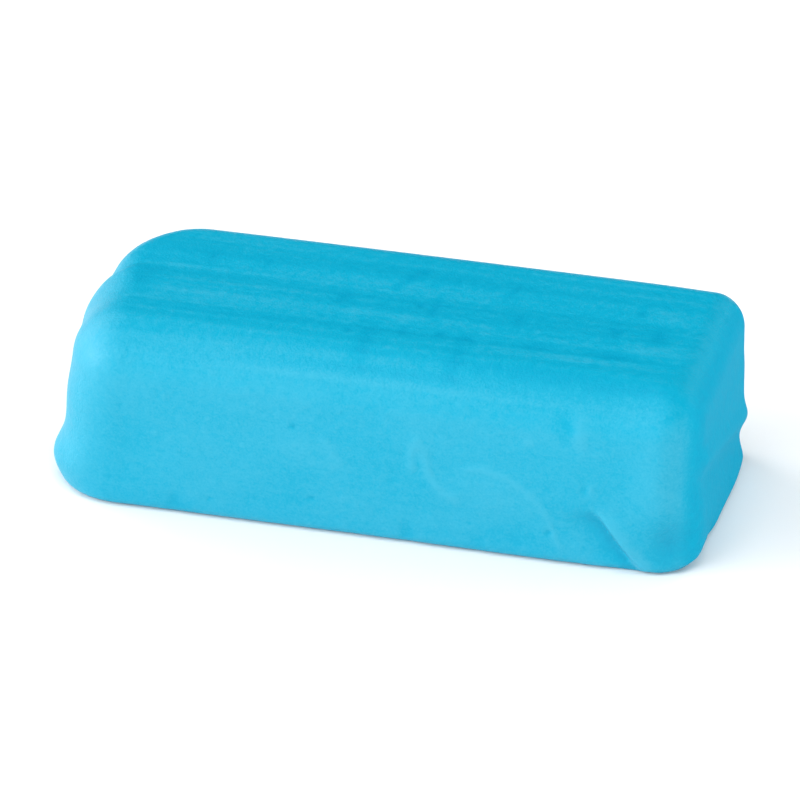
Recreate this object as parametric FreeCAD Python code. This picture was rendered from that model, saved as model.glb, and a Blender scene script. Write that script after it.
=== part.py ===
# A bar of kneadable detailing clay, as cut from an extruded billet, resting on its underside.
#
# The bar is one homogeneous block: nothing is inside it, nothing is fastened to it and nothing moves.
# Its long sides and top come straight from the extruder's die. Both ends are knife cuts, so they are
# uneven: the left end leans inwards and is split by a shallow groove over a foot that flares at the
# bottom, and the right end carries a burr that runs slantwise from its front top to its back bottom.
#
# Frame: X along the bar, Y from its front side to its back side, Z up. The origin is in the plane of
# the flat underside, below the middle of the bar's box. The skin is made of ruled faces between level
# slices, from the underside to the top, and it is sewn into one closed solid.

import FreeCAD, Part
import math
import os

# ---------------------------------------------------------------- driving dimensions, millimetres
LENGTH = 110.0
WIDTH = 44.0
HEIGHT = 33.0

# Corner radii of the bar seen from above
FRONT_LEFT_RADIUS = 10.5
BACK_LEFT_RADIUS = 16.0
FRONT_RIGHT_RADIUS = 7.0
BACK_RIGHT_RADIUS = 5.5
SMALLEST_RADIUS = 2.0

# Edge radii of the bar seen from the side
BOTTOM_EDGE = 2.0
LONG_TOP_EDGE = 4.8
LEFT_TOP_EDGE = 4.5
RIGHT_TOP_EDGE = 7.5

# The top is crowned: it rises this much from its rounded edges to its middle
CROWN = 0.6
CROWN_INSETS = (5.0, 9.0, 12.5)

# How far from each end the cut has disturbed the clay
REACH = 18.0

# Left end: it leans in towards the top and turns a little from front to back
LEFT_LEAN = 3.7
LEFT_TURN = 0.9
FOOT_FLARE, FOOT_HEIGHT, FOOT_SPREAD, FOOT_DEPTH, FOOT_WIDTH = 1.9, 5.3, 4.0, 8.0, 10.0
LOBE_BULGE, LOBE_DEPTH, LOBE_WIDTH, LOBE_HEIGHT, LOBE_SPREAD = 1.4, 21.5, 6.0, 24.0, 7.0
GROOVE_CUT, GROOVE_DEPTH, GROOVE_WIDTH = 0.8, 30.0, 4.0
GROOVE_START, GROOVE_RISE = 8.0, 16.0

# Right end: the burr left by the knife, and the hollow under it
BURR_FRONT_HEIGHT, BURR_BACK_HEIGHT = 22.5, 10.0
BURR_RISE, BURR_SPREAD, BURR_FADE = 0.6, 2.2, 10.0
HOLLOW_CUT, HOLLOW_DROP, HOLLOW_SPREAD = 0.7, 4.5, 3.2

# The whole bar bows slightly backwards in the middle
BOW = 0.15

# Sampling of the slices
LONG_SIDE_POINTS = 9
END_POINTS = 9
CORNER_POINTS = 6
POINTS_PER_EDGE = 10
BOTTOM_SLICES = 5
WALL_HEIGHTS = range(4, 26, 2)
TOP_SLICES = 7


# ---------------------------------------------------------------- small shape functions
def smooth(t):
    """0 below t = 0, 1 above t = 1, and an even S in between."""
    t = min(1.0, max(0.0, t))
    return t * t * (3.0 - 2.0 * t)


def bell(t):
    """1 at t = 0, falling away on both sides."""
    return math.exp(-t * t)


def rounding(drop, radius):
    """How far a rounded edge of this radius stands in, at this distance from the face it turns into."""
    if drop >= radius:
        return 0.0
    return radius - math.sqrt(radius**2 - (radius - drop) ** 2)


# ---------------------------------------------------------------- the two cut ends
def left_push(y, z):
    """How far the left end stands out at this place, beyond a plain flat end."""
    u = y + WIDTH / 2
    lean = -LEFT_LEAN * (z / HEIGHT - 0.5)
    turn = -LEFT_TURN * y / (WIDTH / 2)
    foot = FOOT_FLARE * bell((z - FOOT_HEIGHT) / FOOT_SPREAD) * bell((u - FOOT_DEPTH) / FOOT_WIDTH)
    lobe = LOBE_BULGE * bell((z - LOBE_HEIGHT) / LOBE_SPREAD) * bell((u - LOBE_DEPTH) / LOBE_WIDTH)
    groove = GROOVE_CUT * bell((u - GROOVE_DEPTH) / GROOVE_WIDTH) * smooth((z - GROOVE_START) / GROOVE_RISE)
    return lean + turn + foot + lobe - groove


def right_push(y, z):
    """How far the right end stands out at this place, beyond a plain flat end."""
    u = y + WIDTH / 2
    burr_height = BURR_FRONT_HEIGHT + (BURR_BACK_HEIGHT - BURR_FRONT_HEIGHT) * u / WIDTH
    burr = BURR_RISE * bell((z - burr_height) / BURR_SPREAD) * smooth(u / BURR_FADE)
    hollow = HOLLOW_CUT * bell((z - burr_height + HOLLOW_DROP) / HOLLOW_SPREAD)
    return burr - hollow


def disturbed(x, y, z):
    """The place that a point of the plain bar takes once the ends are cut and the bar has bowed."""
    half = LENGTH / 2
    left = smooth((-x - half + REACH) / REACH)
    right = smooth((x - half + REACH) / REACH)
    moved_x = x - left * left_push(y, z) + right * right_push(y, z)
    moved_y = y + BOW * (1.0 - (x / half) ** 2)
    return FreeCAD.Vector(moved_x, moved_y, z)


# ---------------------------------------------------------------- level slices
def slice_insets():
    """(height, inset of the long sides, of the left end, of the right end) for each slice, upwards."""
    rows = []
    quarter_turn = math.pi / 2
    top_edges = (LONG_TOP_EDGE, LEFT_TOP_EDGE, RIGHT_TOP_EDGE)
    for i in range(BOTTOM_SLICES):
        angle = quarter_turn * i / (BOTTOM_SLICES - 1)
        inset = BOTTOM_EDGE * (1.0 - math.sin(angle))
        rows.append((BOTTOM_EDGE * (1.0 - math.cos(angle)), inset, inset, inset))
    shoulder = HEIGHT - CROWN
    for z in WALL_HEIGHTS:
        rows.append((z, *(rounding(shoulder - z, radius) for radius in top_edges)))
    for i in range(TOP_SLICES):
        angle = quarter_turn * i / (TOP_SLICES - 1)
        drop = LONG_TOP_EDGE * (1.0 - math.sin(angle))
        rows.append((shoulder - drop, *(rounding(drop, radius) for radius in top_edges)))
    for i, further in enumerate(CROWN_INSETS, start=1):
        rise = CROWN * (1.0 - (1.0 - i / len(CROWN_INSETS)) ** 2)
        rows.append((shoulder + rise, *(radius + further for radius in top_edges)))
    return rows


def along(start, end, count):
    """count points from start towards end, the end left out."""
    return [start + (end - start) * (i / count) for i in range(count)]


def arc(centre, radius, first_angle):
    """Points of a quarter circle, counter-clockwise from first_angle, its end left out."""
    angles = [math.radians(first_angle + 90.0 * i / CORNER_POINTS) for i in range(CORNER_POINTS)]
    return [centre + FreeCAD.Vector(math.cos(a), math.sin(a), 0) * radius for a in angles]


def plain_outline(side, left, right):
    """The rounded rectangle of a slice, counter-clockwise from the middle of the back side."""
    x0, x1 = -LENGTH / 2 + left, LENGTH / 2 - right
    y0, y1 = -WIDTH / 2 + side, WIDTH / 2 - side
    bl = max(SMALLEST_RADIUS, BACK_LEFT_RADIUS - (side + left) / 2)
    fl = max(SMALLEST_RADIUS, FRONT_LEFT_RADIUS - (side + left) / 2)
    fr = max(SMALLEST_RADIUS, FRONT_RIGHT_RADIUS - (side + right) / 2)
    br = max(SMALLEST_RADIUS, BACK_RIGHT_RADIUS - (side + right) / 2)
    at = FreeCAD.Vector
    half_side = LONG_SIDE_POINTS // 2
    points = along(at(0, y1), at(x0 + bl, y1), half_side)
    points += arc(at(x0 + bl, y1 - bl), bl, 90)
    points += along(at(x0, y1 - bl), at(x0, y0 + fl), END_POINTS)
    points += arc(at(x0 + fl, y0 + fl), fl, 180)
    points += along(at(x0 + fl, y0), at(x1 - fr, y0), LONG_SIDE_POINTS)
    points += arc(at(x1 - fr, y0 + fr), fr, 270)
    points += along(at(x1, y0 + fr), at(x1, y1 - br), END_POINTS)
    points += arc(at(x1 - br, y1 - br), br, 0)
    points += along(at(x1 - br, y1), at(0, y1), half_side)
    return points


def shared_parameters():
    """Curve parameters for the slices' points, from their spacing on the full outline."""
    points = plain_outline(0.0, 0.0, 0.0)
    steps = [(b - a).Length for a, b in zip(points, points[1:] + points[:1])]
    total, reached = sum(steps), 0.0
    parameters = [0.0]
    for step in steps:
        reached += step
        parameters.append(reached / total)
    return parameters


def slice_edges(z, side, left, right, parameters):
    """The closed outline of a slice: one smooth curve, cut into pieces that line up from slice to slice."""
    points = [disturbed(p.x, p.y, z) for p in plain_outline(side, left, right)]
    curve = Part.BSplineCurve()
    curve.interpolate(Points=points, PeriodicFlag=True, Parameters=parameters)
    ends = parameters[:-1:POINTS_PER_EDGE] + parameters[-1:]
    return [curve.toShape(a, b) for a, b in zip(ends, ends[1:])]


# ---------------------------------------------------------------- the bar
def clay_bar():
    parameters = shared_parameters()
    slices = [slice_edges(*row, parameters) for row in slice_insets()]
    faces = [Part.Face(Part.Wire(edges)) for edges in (slices[0], slices[-1])]
    for lower, upper in zip(slices, slices[1:]):
        faces += [Part.makeRuledSurface(a, b) for a, b in zip(lower, upper)]
    skin = Part.makeShell(faces)
    skin.sewShape()
    bar = Part.makeSolid(skin)
    if bar.Volume < 0:
        bar.reverse()
    box = bar.optimalBoundingBox()
    bar.translate(FreeCAD.Vector(-box.Center.x, -box.Center.y, -box.ZMin))
    return bar


def main():
    os.makedirs("parts", exist_ok=True)
    bar = clay_bar()
    bar.exportStep("parts/clay_bar.step")
    box = bar.optimalBoundingBox()
    print("valid", bar.isValid(), "solids", len(bar.Solids), "faces", len(bar.Faces))
    print(f"size {box.XLength:.2f} x {box.YLength:.2f} x {box.ZLength:.2f} mm, {bar.Volume / 1000:.1f} cm3")


main()
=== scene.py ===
# A bar of kneadable detailing clay on a pale floor.
#
# The bar is one piece. Its skin starts as a box of even quads, which is drawn onto a rounded bar,
# then pushed about where the two ends were cut, and last marked with the small folds, dents and
# streaks of handled clay. Shape sizes are in millimetres until the mesh is made. The front faces
# -y, and x runs from the left end to the right one.

import bpy
import math
import numpy as np
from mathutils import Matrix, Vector


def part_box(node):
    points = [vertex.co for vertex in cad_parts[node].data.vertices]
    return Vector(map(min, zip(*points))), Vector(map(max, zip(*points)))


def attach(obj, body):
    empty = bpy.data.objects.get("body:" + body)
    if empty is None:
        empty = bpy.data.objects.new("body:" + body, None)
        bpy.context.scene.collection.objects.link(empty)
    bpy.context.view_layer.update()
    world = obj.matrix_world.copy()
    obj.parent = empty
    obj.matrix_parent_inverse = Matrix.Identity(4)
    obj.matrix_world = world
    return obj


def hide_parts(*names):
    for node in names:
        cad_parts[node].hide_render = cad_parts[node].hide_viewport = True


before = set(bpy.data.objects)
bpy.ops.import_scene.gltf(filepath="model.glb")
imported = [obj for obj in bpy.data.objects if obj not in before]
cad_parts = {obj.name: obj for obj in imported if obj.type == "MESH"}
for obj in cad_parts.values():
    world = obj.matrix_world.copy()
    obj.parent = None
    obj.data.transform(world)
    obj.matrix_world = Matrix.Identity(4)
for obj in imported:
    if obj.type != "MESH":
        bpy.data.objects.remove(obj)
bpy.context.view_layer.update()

MM = 0.001

# ---------------------------------------------------------------- the bar, millimetres
LENGTH, WIDTH, HEIGHT = 110.0, 44.0, 33.0

# Corner radii seen from above, and edge radii seen from the side
FRONT_LEFT, BACK_LEFT, FRONT_RIGHT, BACK_RIGHT = 10.5, 16.0, 7.0, 5.5
TOP_FRONT, TOP_BACK, BOTTOM, TOP_RIGHT = 8.5, 5.5, 1.8, 6.0
TOP_FRONT_LEFT, TOP_BACK_LEFT = 8.5, 4.5

# How far the change from one radius to the next spreads: at the middle of each side, and at the ends
BLEND_X, BLEND_Y, BLEND_Z = 20.0, 16.0, 4.0
LEFT_BLEND, RIGHT_BLEND = 14.0, 16.0

# The front leans back towards its top edge, and the top falls towards its long edges
FRONT_BATTER, BATTER_START = 1.3, 8.0
TOP_FALL, FALL_START = 0.35, 9.0

# The middle of the bar bows back and up, and each cut is felt this far from its end
BOW_BACK, BOW_UP, CUT_REACH = 0.12, 0.19, 18.0

# Pairs below are where a ramp starts and ends, or a hump's centre and half width

# The left cut: its skew across the bar, its lean, and how far it is set back above the foot
LEFT_SKEW, LEFT_LEAN, LEFT_SET_BACK = 1.21, 3.6, 0.33
SET_BACK_Y, SET_BACK_Z = (10.7, 51.6), (8.0, 24.0)

# Lobes of the left cut: how far each stands out, then its hump in y and in z
LEFT_LOBES = (
    (1.70, (-14.0, 10.0), (5.1, 3.9)), (0.55, (-16.0, 14.0), (18.1, 5.0)), (0.50, (-7.0, 10.0), (27.0, 5.0)),
    (1.70, (-1.0, 6.0), (23.5, 7.0)), (-0.90, (-16.0, 9.0), (0.0, 2.5)),
)

# The right cut: its skew and lean, then the burr across it, and the hollow under the burr
RIGHT_SKEW, RIGHT_LEAN = 0.12, 0.24
BURR, BURR_HALF, BURR_FRONT_HEIGHT, BURR_FALL, BURR_Y = 0.78, 2.2, 22.0, 13.6, (-22.0, -12.0)
HOLLOW, HOLLOW_HALF, HOLLOW_BELOW = 0.66, 3.2, 4.5

# The right cut's foot spreads at the back and has a notch at the front. The upper part is set back
FOOT, FOOT_Y, FOOT_Z = 0.6, (10.0, 9.0), (6.0, 0.0)
NOTCH, NOTCH_Y, NOTCH_Z = 0.5, (-8.4, 2.4), (5.0, 1.0)
UPPER_SET_BACK, UPPER_Z = 0.15, (19.0, 23.0)

# Quads along the length, width and height
GRID = (244, 98, 74)


# ---------------------------------------------------------------- small functions
def smooth(t):
    t = np.clip(t, 0.0, 1.0)
    return t * t * (3.0 - 2.0 * t)


def ramp(value, start, end):
    """0 at the start and 1 at the end, with a smooth rise between them."""
    return smooth((value - start) / (end - start))


def bell(t):
    return np.exp(-np.square(t))


def hump(value, centre, half):
    """1 at the centre, falling to about a third at one half width away."""
    return bell((value - centre) / half)


def mix(a, b, t):
    return a + (b - a) * t


# ---------------------------------------------------------------- the plain bar
def box_grid(counts):
    """A closed box of quads on the cube from -1 to 1, with shared corners and outward faces."""
    keys, faces = {}, []

    def corner(i, j, k):
        return keys.setdefault((i, j, k), len(keys))

    nx, ny, nz = counts
    for i in range(nx):
        for j in range(ny):
            for k, flip in ((0, True), (nz, False)):
                quad = [corner(i, j, k), corner(i + 1, j, k), corner(i + 1, j + 1, k), corner(i, j + 1, k)]
                faces.append(quad[::-1] if flip else quad)
    for i in range(nx):
        for k in range(nz):
            for j, flip in ((0, False), (ny, True)):
                quad = [corner(i, j, k), corner(i + 1, j, k), corner(i + 1, j, k + 1), corner(i, j, k + 1)]
                faces.append(quad[::-1] if flip else quad)
    for j in range(ny):
        for k in range(nz):
            for i, flip in ((0, True), (nx, False)):
                quad = [corner(i, j, k), corner(i, j + 1, k), corner(i, j + 1, k + 1), corner(i, j, k + 1)]
                faces.append(quad[::-1] if flip else quad)
    points = np.array(list(keys), float) / np.array(counts) * 2.0 - 1.0
    return points, np.array(faces)


def bar_distance(p):
    """Distance outside the plain rounded bar. Its radii change slowly from corner to corner."""
    x, y, z = p.T
    end = LENGTH / 2
    to_right = ramp(x, -BLEND_X / 2, BLEND_X / 2)
    to_back = ramp(y, -BLEND_Y / 2, BLEND_Y / 2)
    corner = mix(mix(FRONT_LEFT, BACK_LEFT, to_back), mix(FRONT_RIGHT, BACK_RIGHT, to_back), to_right)
    out_x = np.abs(x) - end + corner
    out_y = np.abs(y) - WIDTH / 2 + corner
    side = rounded_corner(out_x, out_y, corner)
    up = np.abs(z - HEIGHT / 2) - HEIGHT / 2
    edge = mix(TOP_FRONT, TOP_BACK, to_back)
    edge = mix(edge, TOP_RIGHT, ramp(x, end - RIGHT_BLEND, end))
    left_edge = mix(TOP_FRONT_LEFT, TOP_BACK_LEFT, to_back)
    edge = mix(edge, left_edge, ramp(x, LEFT_BLEND - end, -end))
    edge = mix(BOTTOM, edge, ramp(z, (HEIGHT - BLEND_Z) / 2, (HEIGHT + BLEND_Z) / 2))
    return rounded_corner(side + edge, up + edge, edge)


def rounded_corner(a, b, radius):
    """Distance outside a corner of this radius, from how far out it is in each direction."""
    return np.minimum(np.maximum(a, b), 0.0) + np.hypot(np.maximum(a, 0.0), np.maximum(b, 0.0)) - radius


def slope_of(distance, p, step=0.02):
    """Unit gradient of a distance function."""
    out = np.empty_like(p)
    for axis in range(3):
        nudge = np.zeros(3)
        nudge[axis] = step
        out[:, axis] = distance(p + nudge) - distance(p - nudge)
    return out / np.linalg.norm(out, axis=1, keepdims=True)


def drawn_onto_bar(points, start_scale=0.985, rounds=10):
    """The points moved onto the plain bar, and the way each faces there."""
    half = np.array([LENGTH, WIDTH, HEIGHT]) / 2
    p = points * half * start_scale + np.array([0.0, 0.0, HEIGHT / 2])
    for _ in range(rounds):
        p -= bar_distance(p)[:, None] * slope_of(bar_distance, p)
    return p, slope_of(bar_distance, p)


# ---------------------------------------------------------------- the two cut ends
def left_push(y, z):
    """How far the left cut stands out past the plain end."""
    push = -LEFT_SKEW * y / (WIDTH / 2) - LEFT_LEAN * (z / HEIGHT - 0.5)
    for amount, lobe_y, lobe_z in LEFT_LOBES:
        push += amount * hump(y, *lobe_y) * hump(z, *lobe_z)
    return push - LEFT_SET_BACK * hump(y, *SET_BACK_Y) * ramp(z, *SET_BACK_Z)


def right_push(y, z):
    """How far the right cut stands out past the plain end."""
    burr_height = BURR_FRONT_HEIGHT - BURR_FALL * (y / WIDTH + 0.5)
    push = RIGHT_SKEW * y / (WIDTH / 2) - RIGHT_LEAN * (z / HEIGHT - 0.5)
    push += BURR * hump(z, burr_height, BURR_HALF) * ramp(y, *BURR_Y)
    push -= HOLLOW * hump(z, burr_height - HOLLOW_BELOW, HOLLOW_HALF)
    push += FOOT * hump(y, *FOOT_Y) * ramp(z, *FOOT_Z)
    push -= NOTCH * hump(y, *NOTCH_Y) * ramp(z, *NOTCH_Z)
    return push - UPPER_SET_BACK * ramp(z, *UPPER_Z)


def cut_and_bowed(p):
    """The plain bar with its ends cut, its front leaned back and its middle bowed."""
    x, y, z = p.T.copy()
    end = LENGTH / 2
    left = ramp(x, CUT_REACH - end, -end)
    right = ramp(x, end - CUT_REACH, end)
    middle = 1.0 - np.square(x / end)
    front = ramp(y, WIDTH / 2, -WIDTH / 2)
    batter = np.square(np.clip((z - BATTER_START) / (HEIGHT - BATTER_START), 0.0, 1.0))
    fall = np.square(np.clip((np.abs(y) - FALL_START) / (WIDTH / 2 - FALL_START), 0.0, 1.0))
    moved = np.empty_like(p)
    moved[:, 0] = x - left * left_push(y, z) + right * right_push(y, z)
    moved[:, 1] = y + BOW_BACK * middle + FRONT_BATTER * front * batter
    moved[:, 2] = z + (BOW_UP * middle - TOP_FALL * fall) * ramp(z, HEIGHT / 2, HEIGHT)
    return moved


def vertex_normals(p, faces):
    a, b, c, d = (p[faces[:, i]] for i in range(4))
    flat = np.cross(c - a, d - b)
    out = np.zeros_like(p)
    for i in range(4):
        np.add.at(out, faces[:, i], flat)
    return out / np.linalg.norm(out, axis=1, keepdims=True)


# ---------------------------------------------------------------- marks of handling, millimetres
# On the front and back, places are (x, z). On the top, places are (x, y). Heights stand out from
# the clay, and depths go into it. Paleness is 0 for plain clay and 1 for the palest. Much of the
# paleness is painted light: painted highlights on what stands out and painted shade in what sinks.

# Slope of the top towards the back at each y: the die's shallow lengthwise steps
TOP_SLOPES = (
    (-22.0, 0.0), (-11.2, 0.0), (-10.7, 0.06), (-10.2, -0.02), (-9.3, -0.02), (-8.0, -0.03), (-6.8, 0.03),
    (-3.2, 0.04), (-2.2, -0.01), (0.8, -0.03), (2.8, -0.07), (4.2, -0.02), (4.6, 0.10), (5.1, 0.03),
    (6.0, 0.04), (9.4, 0.03), (10.3, -0.03), (13.0, -0.03), (16.0, 0.0), (22.0, 0.0),
)

# Lines on the front, then each with its height, painted highlight, half width and the reach of its flap
FLAP_EDGE = ((15.6, 16.0), (18.8, 16.8), (22.0, 15.9), (24.9, 14.2), (27.6, 11.9), (29.5, 9.3), (30.6, 6.4),
             (31.7, 3.4))
LIP = ((6.2, 15.4), (6.3, 18.4), (7.1, 20.4), (8.3, 18.2), (9.4, 14.6), (10.9, 12.2), (13.8, 10.3))
OLD_FOLD = ((-8.9, 18.0), (-7.4, 16.6), (-6.3, 14.8), (-7.2, 13.3))
FRONT_LINES = (
    (FLAP_EDGE, 0.16, 0.55, 0.55, 4.0), (LIP, 0.20, 0.55, 0.80, 1.6), (OLD_FOLD, 0.06, 0.30, 1.10, 4.0),
)

# The fold at the front's lower right, from its open top to the underside
CREASE = ((37.4, 10.7), (38.3, 9.2), (40.0, 6.6), (42.2, 3.7), (44.6, 0.6))

# Small marks on the front: x, z, half width, half height, height, paleness. The paleness is a painted
# highlight on raised marks and painted shade in sunk ones
FRONT_MARKS = (
    (34.9, 25.4, 1.2, 2.4, 0.16, 0.9), (32.4, 26.2, 1.3, 2.4, -0.12, -0.5),
    (25.9, 22.7, 0.8, 0.7, 0.12, 0.7), (11.6, 20.7, 0.6, 0.6, 0.14, 0.4),
    (11.6, 20.5, 0.3, 0.3, -0.14, 0.0), (36.9, 15.4, 0.5, 1.1, 0.22, 0.8),
    (36.0, 15.4, 0.7, 1.2, -0.16, -0.4), (-36.6, 22.9, 0.45, 0.5, 0.24, 0.5),
    (-37.3, 22.6, 0.4, 0.5, -0.15, -0.4), (-38.4, 15.5, 0.3, 0.3, 0.12, 1.2),
    (-28.9, 19.6, 0.3, 0.3, 0.10, 1.0), (-23.0, 15.4, 0.3, 0.3, 0.10, 1.0),
    (1.6, 23.4, 0.3, 0.3, 0.10, 0.9), (-14.3, 20.1, 0.4, 0.4, -0.35, -1.6),
    (-44.4, 19.9, 0.4, 0.4, -0.20, -0.9), (29.9, 6.1, 0.4, 0.4, -0.30, -1.3),
    (16.3, 5.9, 0.4, 0.4, -0.22, -0.9), (-10.9, 6.8, 0.4, 0.4, -0.26, -1.0),
    (-28.7, 4.1, 0.4, 0.4, -0.22, -0.9), (-30.9, 4.4, 0.3, 0.8, 0.12, 0.5),
    (-34.8, 2.4, 1.2, 2.0, -0.22, -0.5), (5.6, 2.6, 1.1, 2.2, -0.20, -0.5),
    (17.7, 2.4, 1.0, 1.8, -0.16, -0.4), (-11.6, 1.6, 0.3, 0.3, 0.14, 1.0),
    (-13.6, 16.4, 4.6, 2.6, 0.08, 0.35), (17.6, 11.4, 7.0, 4.4, 0.05, 0.25),
    (24.5, 5.0, 5.0, 2.4, -0.06, -0.2), (50.2, 6.0, 3.0, 4.2, -1.45, -1.0),
    (47.8, 19.0, 3.8, 8.5, 0.40, 0.2), (41.5, 16.5, 3.6, 6.0, -0.14, -0.2),
    (-43.0, 13.0, 6.0, 6.0, -0.25, -0.1), (-52.0, 7.5, 2.6, 4.0, 0.25, 0.3),
    (-30.0, 9.0, 9.0, 5.0, 0.08, 0.1),
)

# Small marks on the top: x, y, half length, half width, height, paleness. The paleness is a painted
# highlight on raised marks and painted shade in sunk ones
TOP_MARKS = (
    (-46.0, -0.8, 2.8, 4.6, -0.06, -0.7), (-11.0, 0.9, 1.5, 2.4, -0.08, -0.8),
    (2.5, 0.9, 0.8, 0.8, -0.16, -1.4), (5.0, 0.2, 0.8, 3.6, -0.07, -0.9),
    (19.6, 0.2, 0.9, 2.4, -0.06, -0.8), (36.2, 0.2, 1.2, 2.6, -0.06, -0.8),
    (43.6, 0.4, 1.5, 2.4, -0.12, -1.1), (1.5, -8.0, 0.9, 1.3, -0.08, -1.0),
    (7.8, -7.4, 0.9, 0.9, -0.12, -1.3), (12.4, -7.8, 1.6, 1.3, -0.06, -0.7),
    (24.1, -7.6, 2.4, 1.5, -0.06, -0.6), (37.4, -7.6, 3.6, 1.4, -0.08, -0.9),
    (-5.5, -6.2, 0.6, 0.6, -0.06, -0.7), (-13.0, -6.0, 0.7, 0.7, -0.06, -0.6),
    (-7.4, -10.1, 0.6, 0.8, -0.10, -1.0), (-3.9, -12.8, 1.6, 5.6, -0.05, -0.7),
    (12.0, -14.0, 1.4, 5.0, -0.05, -0.6), (-35.8, 8.6, 0.8, 2.0, -0.06, -0.7),
    (39.2, 7.2, 0.7, 1.1, -0.08, -0.9), (-26.2, 9.0, 0.6, 1.4, -0.04, -0.4),
    (42.6, -4.4, 5.0, 1.6, 0.06, 0.3), (-7.8, -4.2, 0.8, 1.6, 0.04, 0.3),
    (0.8, -4.4, 1.6, 1.2, 0.04, 0.2), (14.8, -4.6, 1.2, 1.2, 0.03, 0.2), (43.6, 6.6, 3.0, 1.6, 0.05, 0.3),
    (-41.6, 4.9, 2.0, 0.5, 0.10, 0.5), (29.0, -10.6, 5.0, 0.4, 0.02, 0.2),
    (47.0, -9.6, 4.0, 1.2, -0.06, -0.3), (9.0, -1.6, 3.0, 0.3, 0.02, 0.4),
    (-29.0, -9.6, 10.0, 0.5, -0.02, -0.3),
)

# Slanting wipes across the top: two ends, half width, paleness
TOP_WIPES = (((0.6, 12.4), (-3.4, 5.6), 0.8, -0.7), ((17.2, 10.4), (15.8, 5.6), 0.7, -0.5))

# Soft random waves of each face, and clouds of paleness: size, two cell lengths, seed
FRONT_WAVES = ((0.08, 17.0, 9.0, 11), (0.03, 5.0, 4.0, 12))
FRONT_CLOUDS = ((0.16, 7.0, 5.0, 13),)
TOP_WANDER = ((0.25, 22.0, 1.0, 21),)
TOP_WAVES = ((0.02, 34.0, 0.9, 22), (0.03, 40.0, 2.1, 23))
TOP_CLOUDS = ((0.25, 40.0, 0.8, 24), (0.3, 30.0, 2.0, 25))
BACK_WAVES = ((0.12, 19.0, 11.0, 31), (0.04, 6.0, 5.0, 32))
BACK_CLOUDS = ((0.16, 8.0, 6.0, 33),)

# The hairline under the front's top edge: height, place, its two ends, and its painted highlight for its
# height
HAIRLINE, HAIRLINE_Z, HAIRLINE_LEFT, HAIRLINE_RIGHT = 0.03, (29.2, 0.35), (-30.0, -22.0), (36.0, 28.0)
HAIRLINE_PAINTED_HIGHLIGHT = 18.0

# The faint groove along the back: depth, height in the middle, half width, tilt and its two ends
GROOVE, GROOVE_Z, GROOVE_HALF, GROOVE_TILT = 0.10, 21.0, 0.9, 0.04
GROOVE_LEFT, GROOVE_RIGHT = (-30.0, -10.0), (34.0, 18.0)

# A front line is this part ridge and the rest flap. Its flap has this part of its painted highlight
RIDGE_SHARE, FLAP_PAINTED_HIGHLIGHT = 0.6, 0.2

# The fold's depth, how far it slopes in from the left, and how far its step reaches on the right.
# It fades out upwards, and is half as deep at the underside
CREASE_DEPTH, CREASE_SLOPE, CREASE_STEP = 1.2, 3.6, 0.8
CREASE_TOP, CREASE_BASE, CREASE_SHADE_TOP = (12.0, 8.0), (0.0, 4.0), (13.0, 9.0)

# The rounded shoulder right of the fold: height, where it is full, where it ends and how softly
SHOULDER, SHOULDER_FULL, SHOULDER_EDGE, SHOULDER_SOFT, SHOULDER_Z = 0.6, 1.2, 1.6, 2.0, (1.0, 6.0)

# Painted highlight on the shoulder and painted shade in the fold, each with its half width
SHOULDER_PAINTED_HIGHLIGHT, SHOULDER_HALF, CREASE_PAINTED_SHADE, CREASE_HALF = 0.9, 1.6, -0.9, 2.2

# The seam between the two streams of clay: its y on the top, and its turn near the left end
SEAM_Y, SEAM_TURN, SEAM_TURN_X, SEAM_X, SEAM_Z = 4.9, 2.2, (-44.0, -52.0), (-54.0, 7.0), (10.0, 25.0)

# How far the stream behind the seam is set in, and how far back; the groove between the streams
SEAM_STEP, SEAM_STEP_Y, SEAM_FADE, SEAM_GROOVE, SEAM_GROOVE_HALF = 0.5, (-0.6, 0.6), 5.0, 0.25, 0.8

# How far the right toe is rounded off, where, and on which faces
TOE, TOE_X, TOE_Y, TOE_Z, TOE_FACING = 0.9, (44.0, 56.0), (-7.0, -14.0), (4.0, 0.0), (-0.3, 0.5)

# Painted sheen over the whole front, a painted highlight along the front's top edge and painted sheen on the
# left end
FRONT_PAINTED_SHEEN, EDGE_PAINTED_HIGHLIGHT, LEFT_PAINTED_SHEEN = 0.4, 0.3, 0.4
EDGE_X, EDGE_Z, EDGE_FACING, LEFT_FACING = (42.0, -18.0), (28.0, 5.0), (0.3, -0.5), (0.0, -0.8)

# Which way a face looks, from the unit vector out of it, and where the top's marks end
FACING_UP, FACING_FRONT, FACING_BACK, FACING_RIGHT = (0.35, 0.85), (-0.2, -0.8), (0.2, 0.8), (0.5, 0.9)
TOP_END = (53.0, 45.0)

# Painted shading: how much paler the top is for its slope, and the number of steps its profile is summed in
SLOPE_PAINTED_SHADE, PROFILE_STEPS = 2.4, 440

# Rows and columns of random values behind each wave
NOISE_ROWS, NOISE_COLUMNS = 64, 256


def random_waves(u, v, cell_u, cell_v, seed):
    """Smooth noise between -1 and 1, from random values on a grid with these cells."""
    rng = np.random.default_rng(seed)
    grid = rng.uniform(-1.0, 1.0, (NOISE_ROWS, NOISE_COLUMNS))
    a, b = u / cell_u + NOISE_ROWS / 2, v / cell_v + NOISE_COLUMNS / 2
    i, j = np.floor(a).astype(int), np.floor(b).astype(int)
    s, t = smooth(a - i), smooth(b - j)
    near = mix(grid[i, j], grid[i, j + 1], t)
    far = mix(grid[i + 1, j], grid[i + 1, j + 1], t)
    return mix(near, far, s)


def wave_sum(u, v, waves):
    return sum(size * random_waves(u, v, cell_u, cell_v, seed) for size, cell_u, cell_v, seed in waves)


def spots(u, v, table):
    """Height and paleness of a table of small marks."""
    height, pale = np.zeros(u.shape), np.zeros(u.shape)
    for spot_u, spot_v, half_u, half_v, rise, amount in table:
        there = hump(u, spot_u, half_u) * hump(v, spot_v, half_v)
        height += rise * there
        pale += amount * there
    return height, pale


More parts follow.
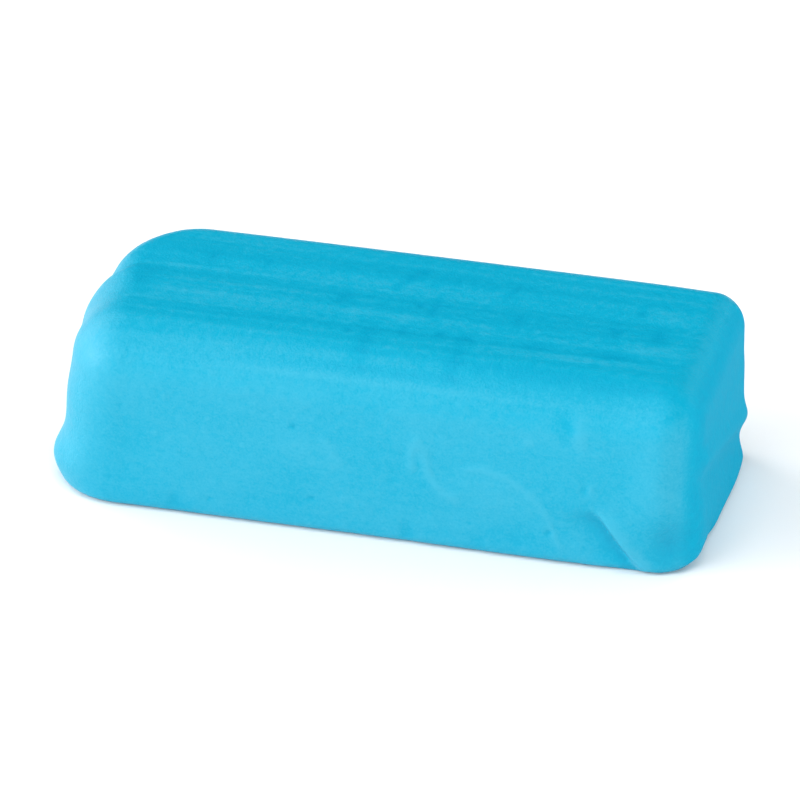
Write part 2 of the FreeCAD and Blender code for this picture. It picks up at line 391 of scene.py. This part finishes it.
def line_distance(u, v, line):
    """Distance to a line of points, and on which side of it: above 0 to the left of its direction."""
    best = np.full(u.shape, np.inf)
    side = np.zeros(u.shape)
    for (u0, v0), (u1, v1) in zip(line, line[1:]):
        du, dv = u1 - u0, v1 - v0
        t = np.clip(((u - u0) * du + (v - v0) * dv) / (du * du + dv * dv), 0.0, 1.0)
        away = np.hypot(u - u0 - t * du, v - v0 - t * dv)
        closer = away < best
        best = np.where(closer, away, best)
        side = np.where(closer, du * (v - v0) - dv * (u - u0), side)
    return best, np.sign(side)


def front_lines(x, z):
    """Height of the lines on the front, each a ridge with a flap on its right side, and a painted highlight
    along them.
    """
    height, pale = np.zeros(x.shape), np.zeros(x.shape)
    for line, rise, amount, half, reach in FRONT_LINES:
        away, side = line_distance(x, z, line)
        ridge = bell(away / half)
        flap = np.where(side < 0, bell(away / reach), ridge)
        height += rise * mix(flap, ridge, RIDGE_SHARE)
        # The paleness along each ridge and over its flap is a painted highlight
        pale += amount * (ridge + FLAP_PAINTED_HIGHLIGHT * flap)
    return height, pale


def crease(x, z):
    """Height of the fold, with painted shade in it and a painted highlight on its shoulder. It slopes in
    from the left, then steps up onto a shoulder.
    """
    away, side = line_distance(x, z, CREASE)
    opened = ramp(z, *CREASE_TOP) * mix(0.5, 1.0, ramp(z, *CREASE_BASE))
    valley = -CREASE_DEPTH * np.where(side < 0, bell(away / CREASE_SLOPE), bell(away / CREASE_STEP))
    past_edge = np.maximum(away - SHOULDER_EDGE, 0.0)
    shoulder = np.where(side > 0, smooth(away / SHOULDER_FULL) * bell(past_edge / SHOULDER_SOFT), 0.0)
    height = opened * (valley + SHOULDER * shoulder * ramp(z, *SHOULDER_Z))
    # A painted highlight on the shoulder and painted shade in the fold
    lit_shoulder = SHOULDER_PAINTED_HIGHLIGHT * hump(away, SHOULDER_EDGE, SHOULDER_HALF)
    shaded_fold = CREASE_PAINTED_SHADE * bell(away / CREASE_HALF)
    return height, ramp(z, *CREASE_SHADE_TOP) * np.where(side > 0, lit_shoulder, shaded_fold)


def hairline(x, z):
    """The fine line that the die left just under the front's top edge."""
    return HAIRLINE * hump(z, *HAIRLINE_Z) * ramp(x, *HAIRLINE_LEFT) * ramp(x, *HAIRLINE_RIGHT)


def front_marks(x, z):
    """Height and paleness on the front, with painted highlights on what stands out and along the hairline,
    and painted shade in what sinks.
    """
    parts = (spots(x, z, FRONT_MARKS), front_lines(x, z), crease(x, z))
    height = wave_sum(x, z, FRONT_WAVES) + hairline(x, z)
    # The hairline's paleness is a painted highlight
    pale = wave_sum(x, z, FRONT_CLOUDS) + HAIRLINE_PAINTED_HIGHLIGHT * hairline(x, z)
    return height + sum(part[0] for part in parts), pale + sum(part[1] for part in parts)


def top_marks(x, y):
    """Height and paleness on the top. The paleness by slope is painted shading, and at the marks it is a
    painted highlight on what stands out and painted shade in what sinks.
    """
    knots = np.linspace(-WIDTH / 2, WIDTH / 2, PROFILE_STEPS + 1)
    slopes = np.interp(knots, *zip(*TOP_SLOPES))
    rises = (slopes[1:] + slopes[:-1]) / 2 * np.diff(knots)
    heights = np.concatenate([[0.0], np.cumsum(rises)])
    across = y + wave_sum(x, np.zeros(x.shape), TOP_WANDER)
    height, pale = spots(x, y, TOP_MARKS)
    height += np.interp(across, knots, heights) + wave_sum(x, y, TOP_WAVES)
    # Paler where the top tilts one way and darker the other, as painted shading
    pale += SLOPE_PAINTED_SHADE * np.interp(across, knots, slopes) + wave_sum(x, y, TOP_CLOUDS)
    for start, end, half, amount in TOP_WIPES:
        pale += amount * bell(line_distance(x, y, (start, end))[0] / half)
    return height, pale


def back_marks(x, z):
    """Height and paleness on the back: shallow waves and one faint groove."""
    groove = GROOVE * hump(z, GROOVE_Z + GROOVE_TILT * x, GROOVE_HALF)
    groove = groove * ramp(x, *GROOVE_LEFT) * ramp(x, *GROOVE_RIGHT)
    return wave_sum(x, z, BACK_WAVES) - groove, wave_sum(x, z, BACK_CLOUDS)


def seam_depth(x, y, z):
    """The set-in back stream and the groove beside it, near the left end."""
    behind = y - SEAM_Y + SEAM_TURN * ramp(x, *SEAM_TURN_X)
    near_end = hump(x, *SEAM_X) * ramp(z, *SEAM_Z)
    set_in = SEAM_STEP * ramp(behind, *SEAM_STEP_Y) * bell(np.maximum(behind, 0.0) / SEAM_FADE)
    return near_end * (set_in + SEAM_GROOVE * bell(behind / SEAM_GROOVE_HALF))


def toe_depth(x, y, z, facing_x):
    """The rounding of the bottom edge at the front's right corner."""
    return TOE * ramp(x, *TOE_X) * ramp(facing_x, *TOE_FACING) * ramp(z, *TOE_Z) * ramp(y, *TOE_Y)


def painted_sheen(x, z, facing):
    """Painted highlight along the front's top edge and painted sheen on the left end."""
    edge = hump(z, *EDGE_Z) * ramp(facing[:, 1], *EDGE_FACING) * ramp(x, *EDGE_X)
    return EDGE_PAINTED_HIGHLIGHT * edge + LEFT_PAINTED_SHEEN * ramp(facing[:, 0], *LEFT_FACING)


def marks(p, facing):
    """Height of the handling marks at each point of the bar, and paleness, much of it painted highlight,
    sheen and shade.
    """
    x, y, z = p.T
    upward = ramp(facing[:, 2], *FACING_UP)
    on_front = ramp(facing[:, 1], *FACING_FRONT) * (1.0 - upward)
    on_back = ramp(facing[:, 1], *FACING_BACK) * (1.0 - upward)
    on_top = upward * ramp(np.abs(x), *TOP_END)
    front, front_pale = front_marks(x, z)
    back, back_pale = back_marks(x, z)
    top, top_pale = top_marks(x, y)
    height = on_front * front + on_back * back + on_top * top
    height -= seam_depth(x, y, z) + toe_depth(x, y, z, facing[:, 0])
    # The whole front is made paler as a painted sheen, and the top edge and left end get a painted highlight
    # and sheen
    pale = on_front * (FRONT_PAINTED_SHEEN + front_pale) + on_back * back_pale + on_top * top_pale
    return height, pale + painted_sheen(x, z, facing)


# ---------------------------------------------------------------- the bar's mesh
def clay_shape():
    """Points and faces of the bar, with each point's paleness and its share of the cut right end."""
    points, faces = box_grid(GRID)
    plain, facing = drawn_onto_bar(points)
    p = cut_and_bowed(plain)
    height, pale = marks(p, facing)
    p += vertex_normals(p, faces) * height[:, None]
    p[:, 2] = np.maximum(p[:, 2], 0.0)
    return p, faces, pale, ramp(facing[:, 0], *FACING_RIGHT)


def shift_onto(p, box):
    """The move, in metres, that centres these points on the box and rests them on its floor."""
    low, high = (np.array(corner) for corner in box)
    shift = (low + high) / 2 - (p.min(axis=0) + p.max(axis=0)) / 2 * MM
    shift[2] = low[2]
    return shift


def add_attribute(mesh, name, values):
    attribute = mesh.attributes.new(name, "FLOAT", "POINT")
    attribute.data.foreach_set("value", values.astype(np.float32))


def make_bar():
    p, faces, pale, cut = clay_shape()
    shift = shift_onto(p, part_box("clay_bar"))
    mesh = bpy.data.meshes.new("clay_skin")
    mesh.from_pydata((p * MM + shift).tolist(), [], faces.tolist())
    mesh.shade_smooth()
    add_attribute(mesh, "paleness", pale)
    add_attribute(mesh, "cut", cut)
    bar = bpy.data.objects.new("clay_skin", mesh)
    bpy.context.collection.objects.link(bar)
    return bar, Vector(shift)


# ---------------------------------------------------------------- the clay's material
# The clay's colour at tones 0, 0.5 and 1
DEEP_BLUE = (0.0, 0.285, 0.450, 1.0)
CLAY_BLUE = (0.002, 0.325, 0.490, 1.0)
PALE_BLUE = (0.03, 0.360, 0.520, 1.0)
PLAIN_TONE = 0.5

# Noise scale, in cells per metre, and detail. The streaks are drawn out along the bar
SAND, MOTTLE, STREAKS = (2600.0, 2.0), (700.0, 3.0), (900.0, 2.0)
STREAK_STRETCH = (0.03, 1.0, 1.0)
NOISE_ROUGHNESS = 0.6

SPECULAR_LEVEL, PLAIN_ROUGHNESS = 0.25, 0.42
BUMP_DISTANCE, MOTTLE_IN_BUMP = 0.00008, 1.5


class Wiring:
    """Adds nodes to a material and joins them."""

    def __init__(self, material):
        material.use_nodes = True
        self.nodes = material.node_tree.nodes
        self.links = material.node_tree.links
        self.shader = self.nodes["Principled BSDF"]
        self.coordinates = self.nodes.new("ShaderNodeTexCoord")

    def attribute(self, name):
        made = self.nodes.new("ShaderNodeAttribute")
        made.attribute_name = name
        return made.outputs["Fac"]

    def noise(self, scale, detail, stretch=(1.0, 1.0, 1.0)):
        place = self.nodes.new("ShaderNodeMapping")
        place.inputs["Scale"].default_value = stretch
        made = self.nodes.new("ShaderNodeTexNoise")
        made.inputs["Scale"].default_value = scale
        made.inputs["Detail"].default_value = detail
        made.inputs["Roughness"].default_value = NOISE_ROUGHNESS
        self.links.new(self.coordinates.outputs["Object"], place.inputs["Vector"])
        self.links.new(place.outputs["Vector"], made.inputs["Vector"])
        return made.outputs["Fac"]

    def combine(self, operation, first, second):
        made = self.nodes.new("ShaderNodeMath")
        made.operation = operation
        for socket, value in zip(made.inputs, (first, second)):
            if isinstance(value, float):
                socket.default_value = value
            else:
                self.links.new(value, socket)
        return made.outputs["Value"]

    def varied(self, plain, parts):
        """The plain value, plus each part's distance from its middle times its weight."""
        total = plain
        for part, middle, weight in parts:
            change = self.combine("MULTIPLY", self.combine("SUBTRACT", part, middle), weight)
            total = self.combine("ADD", change, total)
        return total

    def colours(self, tone):
        """The clay's colour at a tone."""
        made = self.nodes.new("ShaderNodeValToRGB")
        made.color_ramp.elements[0].color = DEEP_BLUE
        made.color_ramp.elements[1].color = PALE_BLUE
        made.color_ramp.elements.new(PLAIN_TONE).color = CLAY_BLUE
        self.links.new(tone, made.inputs["Fac"])
        return made.outputs["Color"]

    def bump(self, height):
        made = self.nodes.new("ShaderNodeBump")
        made.inputs["Strength"].default_value = 1.0
        made.inputs["Distance"].default_value = BUMP_DISTANCE
        self.links.new(height, made.inputs["Height"])
        return made.outputs["Normal"]


def clay_material():
    material = bpy.data.materials.new("kneaded_clay")
    wiring = Wiring(material)
    inputs = wiring.shader.inputs
    inputs["Specular IOR Level"].default_value = SPECULAR_LEVEL
    pale, cut = wiring.attribute("paleness"), wiring.attribute("cut")
    sand, mottle = wiring.noise(*SAND), wiring.noise(*MOTTLE)
    streaks = wiring.noise(*STREAKS, stretch=STREAK_STRETCH)
    # Each part has its middle value and its weight. The cut's weight darkens the right end as painted shade
    tone = wiring.varied(PLAIN_TONE, (
        (pale, 0.0, 0.5), (mottle, 0.5, 0.6), (streaks, 0.5, 0.2), (sand, 0.5, 0.8), (cut, 0.0, -0.3),
    ))
    roughness = wiring.varied(PLAIN_ROUGHNESS, ((mottle, 0.5, 0.3), (cut, 0.0, 0.5)))
    grain = wiring.varied(sand, ((mottle, 0.0, MOTTLE_IN_BUMP),))
    wiring.links.new(wiring.colours(tone), inputs["Base Color"])
    wiring.links.new(roughness, inputs["Roughness"])
    wiring.links.new(wiring.bump(grain), inputs["Normal"])
    return material


# ---------------------------------------------------------------- floor, light and camera
FLOOR_HALF, FLOOR_COLOUR, FLOOR_ROUGHNESS = 0.8, (0.9, 0.9, 0.9, 1.0), 0.9

# Distance and width of each soft light, in metres
LIGHT_DISTANCE, LIGHT_SIZE = 2.0, 1.2
WHITE, COOL_WHITE = (1.0, 1.0, 1.0), (0.97, 0.99, 1.0)

# The white beyond the floor: how much it lights the bar, and how bright it looks
WORLD_LIGHT, WORLD_BRIGHTNESS = 0.01, 1.0

# The camera's place, in degrees and metres around a target in millimetres, and its lens
CAMERA_AZIMUTH, CAMERA_ELEVATION, CAMERA_DISTANCE = 13.9, 31.0, 1.1119
CAMERA_TARGET = (-1.05, 0.0, 14.62)
CAMERA_LENS, CAMERA_SENSOR = 294.6, 36.0
NEAR_CLIP, FAR_CLIP = 0.05, 20.0


def direction(azimuth, elevation):
    """Unit vector from the bar towards a place, with azimuth 0 in front and 90 to the right."""
    a, e = math.radians(azimuth), math.radians(elevation)
    return Vector((math.sin(a) * math.cos(e), -math.cos(a) * math.cos(e), math.sin(e)))


def make_floor():
    low, high = -FLOOR_HALF, FLOOR_HALF
    corners = [(low, low, 0.0), (high, low, 0.0), (high, high, 0.0), (low, high, 0.0)]
    mesh = bpy.data.meshes.new("floor")
    mesh.from_pydata(corners, [], [(0, 1, 2, 3)])
    floor = bpy.data.objects.new("floor", mesh)
    bpy.context.collection.objects.link(floor)
    material = bpy.data.materials.new("floor_paper")
    material.use_nodes = True
    shader = material.node_tree.nodes["Principled BSDF"]
    shader.inputs["Base Color"].default_value = FLOOR_COLOUR
    shader.inputs["Roughness"].default_value = FLOOR_ROUGHNESS
    mesh.materials.append(material)
    return floor


def soft_light(name, azimuth, elevation, watts, colour=WHITE, in_gloss=True):
    """A round soft light, aimed at the bar. Azimuth 0 is in front of it, and 90 is to its right."""
    lamp = bpy.data.lights.new(name, "AREA")
    lamp.shape = "DISK"
    lamp.size = LIGHT_SIZE
    lamp.energy = watts
    lamp.color = colour
    holder = bpy.data.objects.new(name, lamp)
    towards = direction(azimuth, elevation)
    holder.location = towards * LIGHT_DISTANCE + Vector((0.0, 0.0, HEIGHT / 2 * MM))
    holder.rotation_mode = "QUATERNION"
    holder.rotation_quaternion = towards.to_track_quat("Z", "Y")
    holder.visible_glossy = in_gloss
    bpy.context.collection.objects.link(holder)


def make_lights():
    """Lights to the left and front that show in the clay's gloss, and fills that don't."""
    soft_light("key", -70.0, 15.0, 29.0)
    soft_light("left_low", -110.0, 15.0, 12.0)
    soft_light("left_high", -110.0, 45.0, 8.0)
    soft_light("left_back", -130.0, 30.0, 2.0)
    soft_light("front_left_high", -40.0, 45.0, 12.0)
    soft_light("top_fill", 0.0, 80.0, 18.0, in_gloss=False)
    soft_light("right_front_fill", 30.0, 15.0, 22.0, COOL_WHITE, in_gloss=False)
    soft_light("right_fill", 60.0, 15.0, 6.0, COOL_WHITE, in_gloss=False)
    soft_light("right_side_fill", 110.0, 15.0, 14.0, COOL_WHITE, in_gloss=False)
    soft_light("right_back_fill", 150.0, 30.0, 15.0, COOL_WHITE, in_gloss=False)


def make_world():
    """A white background that adds almost no light of its own."""
    world = bpy.data.worlds.new("studio")
    bpy.context.scene.world = world
    world.use_nodes = True
    nodes, links = world.node_tree.nodes, world.node_tree.links
    nodes.clear()
    output = nodes.new("ShaderNodeOutputWorld")
    background = nodes.new("ShaderNodeBackground")
    background.inputs["Color"].default_value = (*WHITE, 1.0)
    path = nodes.new("ShaderNodeLightPath")
    strength = nodes.new("ShaderNodeMapRange")
    strength.inputs["To Min"].default_value = WORLD_LIGHT
    strength.inputs["To Max"].default_value = WORLD_BRIGHTNESS
    links.new(path.outputs["Is Camera Ray"], strength.inputs["Value"])
    links.new(strength.outputs["Result"], background.inputs["Strength"])
    links.new(background.outputs["Background"], output.inputs["Surface"])


def make_camera(shift):
    back = direction(CAMERA_AZIMUTH, CAMERA_ELEVATION)
    data = bpy.data.cameras.new("camera")
    data.sensor_width = CAMERA_SENSOR
    data.lens = CAMERA_LENS
    data.clip_start, data.clip_end = NEAR_CLIP, FAR_CLIP
    camera = bpy.data.objects.new("camera", data)
    camera.location = Vector(CAMERA_TARGET) * MM + shift + back * CAMERA_DISTANCE
    camera.rotation_mode = "QUATERNION"
    camera.rotation_quaternion = (-back).to_track_quat("-Z", "Y")
    bpy.context.collection.objects.link(camera)
    bpy.context.scene.camera = camera


bar, shift = make_bar()
bar.data.materials.append(clay_material())
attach(bar, "root")
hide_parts("clay_bar")
make_floor()
make_world()
make_lights()
make_camera(shift)
bpy.context.scene.view_settings.view_transform = "Standard"
